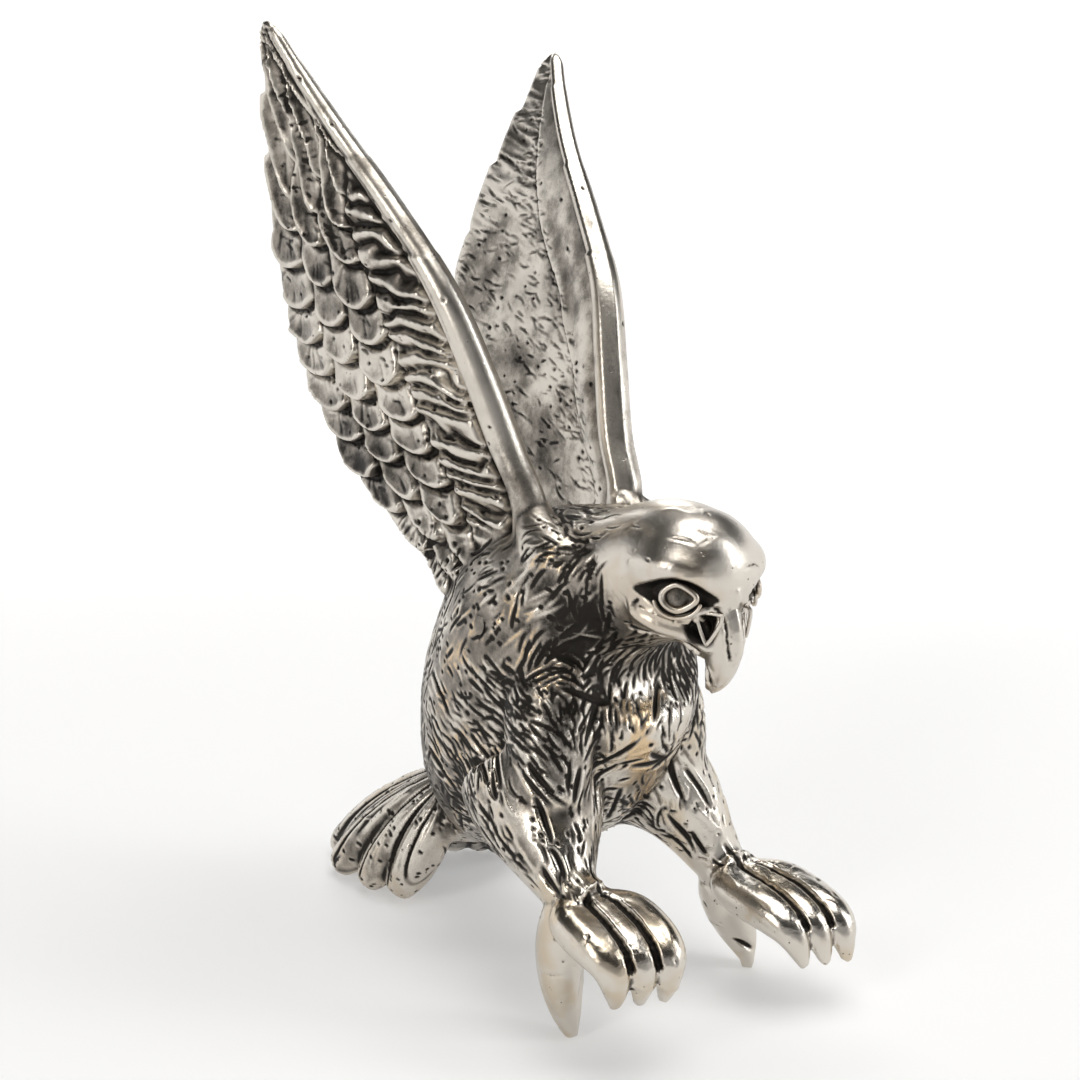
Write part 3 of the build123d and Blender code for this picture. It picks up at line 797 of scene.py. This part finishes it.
def metal(name, bright, dull, gloss, ochre):
    """Antiqued silver. 'dull' moves the balance to patina, and 'gloss' is the worn roughness."""
    material = bpy.data.materials.new(name)
    material.use_nodes = True
    nodes, links = material.node_tree.nodes, material.node_tree.links
    shader = nodes["Principled BSDF"]
    shader.inputs["Metallic"].default_value = 1.0

    def node(kind, **values):
        made = nodes.new(kind)
        for key, value in values.items():
            if key in made.inputs:
                made.inputs[key].default_value = value
            else:
                setattr(made, key, value)
        return made

    def maths(operation, first, second, clamp=False):
        made = node("ShaderNodeMath", operation=operation, use_clamp=clamp)
        for socket, value in zip(made.inputs, (first, second)):
            if isinstance(value, (int, float)):
                socket.default_value = value
            else:
                links.new(value, socket)
        return made.outputs[0]

    def mix(share_of, first, second):
        made = node("ShaderNodeMix", data_type="RGBA")
        links.new(share_of, made.inputs[0])
        for socket, value in ((made.inputs[6], first), (made.inputs[7], second)):
            if isinstance(value, tuple):
                socket.default_value = (*value, 1)
            else:
                links.new(value, socket)
        return made.outputs[2]

    place = node("ShaderNodeTexCoord").outputs["Object"]

    def texture(scale, detail, roughness=0.6):
        made = node("ShaderNodeTexNoise", Scale=scale, Detail=detail, Roughness=roughness)
        links.new(place, made.inputs["Vector"])
        return made.outputs["Fac"]

    def ramp(value, low, high):
        made = fading(nodes, low, high)
        links.new(value, made.inputs["Value"])
        return made.outputs["Result"]

    # the attribute holds the patina together with painted shade and painted light
    age_and_shade = node("ShaderNodeAttribute", attribute_name="patina_and_shade").outputs["Fac"]
    cloud = texture(420, 6)
    grain = texture(5200, 4, 0.7)
    stain = texture(150, 3)
    pits = node("ShaderNodeTexVoronoi", Scale=1500.0)
    links.new(place, pits.inputs["Vector"])
    pit = maths("MULTIPLY", ramp(pits.outputs["Distance"], 0.22, 0.05), ramp(texture(700, 2), 0.56, 0.66))
    aged_and_shaded = maths("ADD", age_and_shade, maths("MULTIPLY", maths("SUBTRACT", cloud, 0.5), 0.55))
    aged_and_shaded = maths("ADD", aged_and_shaded, maths("MULTIPLY", maths("SUBTRACT", grain, 0.5), 0.22))
    aged_and_shaded = maths("ADD", aged_and_shaded, dull - 0.5)
    dark_share = ramp(aged_and_shaded, 0.10, 0.78)
    dark_share = maths("MAXIMUM", dark_share, maths("MULTIPLY", pit, 0.85))
    worn = mix(ramp(stain, 0.47, 0.62), bright, ochre)
    middle = mix(ramp(cloud, 0.35, 0.65), (0.31, 0.28, 0.245), (0.205, 0.185, 0.16))
    low_mix = mix(ramp(dark_share, 0.0, 0.5), worn, middle)
    colour = mix(ramp(dark_share, 0.45, 1.0), low_mix, (0.028, 0.025, 0.022))
    links.new(colour, shader.inputs["Base Color"])
    rough = maths("ADD", maths("MULTIPLY", dark_share, 0.26), gloss)
    rough = maths("ADD", rough, maths("MULTIPLY", cloud, 0.10), clamp=True)
    links.new(rough, shader.inputs["Roughness"])
    relief = maths("SUBTRACT", maths("MULTIPLY", grain, 0.35), pit)
    relief = maths("ADD", relief, maths("MULTIPLY", texture(1900, 3), 0.8))
    bump = node("ShaderNodeBump", Strength=0.45, Distance=0.00006)
    links.new(relief, bump.inputs["Height"])
    links.new(bump.outputs["Normal"], shader.inputs["Normal"])
    return material


silver = (0.65, 0.605, 0.54)
gold_stain = (0.66, 0.50, 0.32)
finishes = {
    "body_silver": metal("body_silver", silver, 0.58, 0.22, gold_stain),
    "head_silver": metal("head_silver", silver, 0.52, 0.25, (0.60, 0.53, 0.44)),
    "wing_silver": metal("wing_silver", silver, 0.60, 0.24, (0.56, 0.52, 0.46)),
    "leg_silver": metal("leg_silver", silver, 0.50, 0.18, (0.60, 0.52, 0.41)),
    "tail_silver": metal("tail_silver", silver, 0.58, 0.22, (0.58, 0.51, 0.42)),
    "pin_silver": metal("pin_silver", silver, 0.90, 0.26, (0.58, 0.53, 0.46)),
}


# ---- divide the skin along the seams ----
seam_lip = 0.6              # how far a cut's closing face lies under the skin
calm_normals = unit(skin.smoothed(normals, 12))
middles = points[skin.quads].mean(axis=1)


def past(place, way):
    return (middles - place) @ np.asarray(way) > 0


head_faces = past(neck_seat, neck_way)
head_faces &= (middles[:, 2] > head_heights[0]) & (middles[:, 2] < head_heights[1])
tail_faces = past(tail_seat, tail_way) & (middles[:, 1] > 5)
piece_faces = {"head": head_faces, "tail": tail_faces & ~head_faces}
taken = head_faces | tail_faces
for name, side in SIDES.items():
    wing_seat = hip + [side * 6.5, -4.4, 20.0]
    leg_seat = hip + [side * 7.8, -5.6, -3.6]
    out = middles[:, 0] * side
    wing_faces = (out > 1.2) & past(wing_seat, wing_way * np.array([side, 1, 1])) & ~taken
    leg_faces = (out > 3.2) & past(leg_seat, leg_way * np.array([side, 1, 1])) & ~taken
    piece_faces[f"{name}_wing"] = wing_faces
    piece_faces[f"{name}_leg"] = leg_faces
    taken = taken | wing_faces | leg_faces
piece_faces["torso"] = ~taken


def chained(rim):
    """Directed edges joined end to end into closed loops of point numbers."""
    follow = {}
    for a, b in rim.tolist():
        follow.setdefault(a, []).append(b)
    loops = []
    while follow:
        here = next(iter(follow))
        loop = [here]
        while here in follow:
            after = follow[here].pop()
            if not follow[here]:
                del follow[here]
            if after == loop[0]:
                break
            loop.append(after)
            here = after
        loops.append(loop)
    return loops


def seam_caps(places, ways, rim):
    """Closes a cut: a lip that goes in from the rim, and triangles that lie within the section.
    Returns the lip's new points and the triangles, wound against the rim."""
    inner, caps = [], []
    start = len(places)
    for loop in chained(rim):
        loop = np.array(loop)
        lip = places[loop] - ways[loop] * seam_lip
        inner.append(lip)
        own = start + np.arange(len(loop))
        start += len(loop)
        after, own_after = np.roll(loop, -1), np.roll(own, -1)
        caps.append(np.column_stack([after, loop, own]))
        caps.append(np.column_stack([after, own, own_after]))
        rel = lip - lip.mean(0)
        flat = rel @ np.linalg.svd(rel, full_matrices=False)[2][:2].T
        outline = [Vector((u, v, 0)) for u, v in flat]
        triangles = np.sort(np.array(tessellate_polygon([outline])), axis=1)
        caps.append(own[triangles[:, ::-1]])
    return np.vstack(inner), np.vstack(caps)


def piece(name, slot, extra=()):
    """One casting, cut from the skin and closed at its seams, with any extra solids added."""
    quads = skin.quads[piece_faces[name]]
    used, local = np.unique(quads, return_inverse=True)
    local = local.reshape(quads.shape)
    edges = np.concatenate([local[:, [k, (k + 1) % 4]] for k in range(4)])
    key = np.sort(edges, 1) @ np.array([len(used), 1])
    order = np.argsort(key, kind="stable")
    first = np.concatenate([[True], key[order][1:] != key[order][:-1]])
    counts = np.diff(np.append(np.flatnonzero(first), len(key)))
    rim = edges[order[np.flatnonzero(first)[counts == 1]]]
    lip, caps = seam_caps(points[used], calm_normals[used], rim)
    all_points = [points[used], lip]
    faces = [local, caps]
    age_and_shade = [patina_and_shade[used], np.full(len(lip), 0.5)]
    start = len(used) + len(lip)
    for (extra_points, extra_faces), extra_age in extra:
        all_points.append(extra_points)
        faces.append(extra_faces + start)
        age_and_shade.append(np.full(len(extra_points), extra_age))
        start += len(extra_points)
    mesh = new_mesh(name + "_cast", np.vstack(all_points), faces)
    ages_and_shade = mesh.attributes.new("patina_and_shade", "FLOAT", "POINT")
    ages_and_shade.data.foreach_set("value", np.concatenate(age_and_shade).astype(np.float32))
    smooth = np.ones(len(mesh.polygons), bool)
    cap_start = len(local)
    smooth[cap_start:cap_start + len(caps)] = False
    mesh.polygons.foreach_set("use_smooth", smooth)
    # the skin's own normals, so that the seams don't show
    corner = np.empty(len(mesh.loops), np.int32)
    mesh.loops.foreach_get("vertex_index", corner)
    wanted = np.zeros((len(mesh.loops), 3), np.float32)
    on_skin = corner[: len(local) * 4]
    wanted[: len(local) * 4] = normals[used][on_skin]
    mesh.normals_split_custom_set(wanted.tolist())
    mesh.materials.append(finishes[slot])
    obj = bpy.data.objects.new(name + "_cast", mesh)
    bpy.context.scene.collection.objects.link(obj)
    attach(obj, "root")
    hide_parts(name)
    return obj


# ---- eyes and nostril rims, worked separately and soldered into the head ----
def eye_parts(side):
    centre = np.array([4.35, -27.35, 44.0])
    out = unit([0.80, -0.58, 0.12])
    across = unit(np.cross(Z_AXIS, out))
    up = np.cross(out, across)
    turn = np.linspace(0, 2 * math.pi, 64, endpoint=False)
    point_in = 0.42 * np.clip(-np.cos(turn), 0, 1) ** 4
    ring = centre + out * 0.95 + across * ((np.cos(turn) * (1.42 + point_in))[:, None]) \
        + up * ((np.sin(turn) * 1.2 * (1 - 0.12 * np.abs(np.cos(turn))))[:, None])
    arc = np.linspace(math.radians(200), math.radians(345), 14)
    lid = centre + out * 0.55 + across * (np.cos(arc) * 2.25)[:, None] + up * (np.sin(arc) * 1.95)[:, None]
    corners = [(-1.0, 0.85), (0.1, 0.95), (0.95, 0.8), (0.95, 0.3), (0.35, -1.3), (0.0, -1.3), (-0.9, 0.2)]
    rows = np.array([nostril_middle + nostril_across * a * 1.2 + Z_AXIS * b * 1.2 + nostril_out * 0.3
                     for a, b in corners])
    closed = through(np.vstack([rows, rows[:1]]), 60)[:-1]
    parts = [
        (ball(centre - out * 0.32, 1.5), 0.50),
        (loop_of_wire(ring, 0.30), 0.05),
        (limb(lid, np.full(14, 0.2), sides=12), 0.1),
        (loop_of_wire(closed, 0.19, 10), 0.1),
    ]
    return [(mirrored(solid) if side < 0 else solid, age_and_shade) for solid, age_and_shade in parts]


piece("torso", "body_silver")
piece("head", "head_silver", eye_parts(RIGHT) + eye_parts(LEFT))
piece("tail", "tail_silver")
for name in SIDES:
    piece(f"{name}_wing", "wing_silver")
    piece(f"{name}_leg", "leg_silver")
for name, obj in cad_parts.items():
    if name.endswith("_pin"):
        obj.data.materials.clear()
        obj.data.materials.append(finishes["pin_silver"])


# ---- studio: a white dish, soft lights, and a darker sky for the metal to reflect ----
def floor_white():
    """White card that glows more towards the wall, where the lights reach it less."""
    material = bpy.data.materials.new("floor_white")
    material.use_nodes = True
    nodes, links = material.node_tree.nodes, material.node_tree.links
    shader = nodes["Principled BSDF"]
    shader.inputs["Base Color"].default_value = (0.62, 0.62, 0.62, 1)
    shader.inputs["Roughness"].default_value = 0.9
    shader.inputs["Specular IOR Level"].default_value = 0.0
    shader.inputs["Emission Color"].default_value = (1, 1, 1, 1)
    place = nodes.new("ShaderNodeTexCoord")
    length = nodes.new("ShaderNodeVectorMath")
    length.operation = "LENGTH"
    glow = fading(nodes, 0.04, 0.6, 0.33, 0.76)
    links.new(place.outputs["Object"], length.inputs[0])
    links.new(length.outputs["Value"], glow.inputs["Value"])
    # one side of the wall stays darker, for the metal to reflect
    toward = nodes.new("ShaderNodeVectorMath")
    toward.operation = "DOT_PRODUCT"
    toward.inputs[1].default_value = (-0.61, -0.79, 0.0)
    links.new(place.outputs["Object"], toward.inputs[0])
    shade = fading(nodes, 0.25, 0.8, 1.0, 0.15)
    links.new(toward.outputs["Value"], shade.inputs["Value"])
    strength = nodes.new("ShaderNodeMath")
    strength.operation = "MULTIPLY"
    links.new(glow.outputs["Result"], strength.inputs[0])
    links.new(shade.outputs["Result"], strength.inputs[1])
    links.new(strength.outputs[0], shader.inputs["Emission Strength"])
    return material


def dish():
    """A round floor that curves up into a low wall."""
    profile = [(0, 0), (300, 0), (700, 0), (900, 20), (1050, 90), (1150, 220), (1200, 420), (1210, 560)]
    curve = through(profile, 80)
    turn = np.linspace(0, 2 * math.pi, 96, endpoint=False)
    reach, height = curve[:, :1], np.maximum(curve[:, 1:], 0)
    rings = np.stack([reach * np.cos(turn), reach * np.sin(turn), height + 0 * turn], -1)
    places, quads = grid(rings, wrap=True)
    mesh = new_mesh("floor", places, [quads])
    mesh.polygons.foreach_set("use_smooth", np.ones(len(mesh.polygons), bool))
    obj = bpy.data.objects.new("floor", mesh)
    bpy.context.scene.collection.objects.link(obj)
    return obj


floor = dish()
floor.data.materials.append(floor_white())

aim = Vector((0, 0, 0.045))


def softbox(name, place, size, power, colour=(1, 1, 1)):
    data = bpy.data.lights.new(name, "AREA")
    data.shape = "RECTANGLE"
    data.size, data.size_y = size
    data.energy = power
    data.color = colour
    obj = bpy.data.objects.new(name, data)
    obj.location = place
    obj.rotation_mode = "QUATERNION"
    obj.rotation_quaternion = (aim - Vector(place)).to_track_quat("-Z", "Y")
    obj.visible_camera = False
    bpy.context.scene.collection.objects.link(obj)


softbox("roof", (0.05, -0.05, 0.62), (0.50, 0.40), 2.6, (1.0, 0.985, 0.96))
softbox("left_side", (-0.55, -0.10, 0.32), (0.12, 0.40), 1.0, (1.0, 0.97, 0.93))
softbox("right_side", (0.38, -0.42, 0.34), (0.10, 0.42), 0.9, (0.97, 0.985, 1.0))
softbox("back", (0.30, 0.50, 0.40), (0.40, 0.20), 0.9)

world = bpy.data.worlds.new("studio")
bpy.context.scene.world = world
world.use_nodes = True
nodes, links = world.node_tree.nodes, world.node_tree.links
background = nodes["Background"]
direction = nodes.new("ShaderNodeTexCoord")
split = nodes.new("ShaderNodeSeparateXYZ")
links.new(direction.outputs["Generated"], split.inputs[0])
fade = fading(nodes, 0.36, 0.55, 1.0, 0.34)
links.new(split.outputs["Z"], fade.inputs["Value"])
links.new(fade.outputs["Result"], background.inputs["Strength"])
bpy.context.scene.view_settings.view_transform = "Standard"

# ---- camera: in front of the bird, on its right, a little above ----
camera_place = Vector((-0.0963, -0.12616, 0.074))
camera_turn = math.radians(37.5)
camera_dip = math.radians(10.4)
camera_data = bpy.data.cameras.new("camera")
camera_data.sensor_width = 36.0
camera_data.lens = 49.67
camera_data.clip_start = 0.005
camera = bpy.data.objects.new("camera", camera_data)
camera.location = camera_place
look = Vector((
    math.sin(camera_turn) * math.cos(camera_dip),
    math.cos(camera_turn) * math.cos(camera_dip),
    -math.sin(camera_dip),
))
camera.rotation_mode = "QUATERNION"
camera.rotation_quaternion = look.to_track_quat("-Z", "Y")
bpy.context.scene.collection.objects.link(camera)
bpy.context.scene.camera = camera
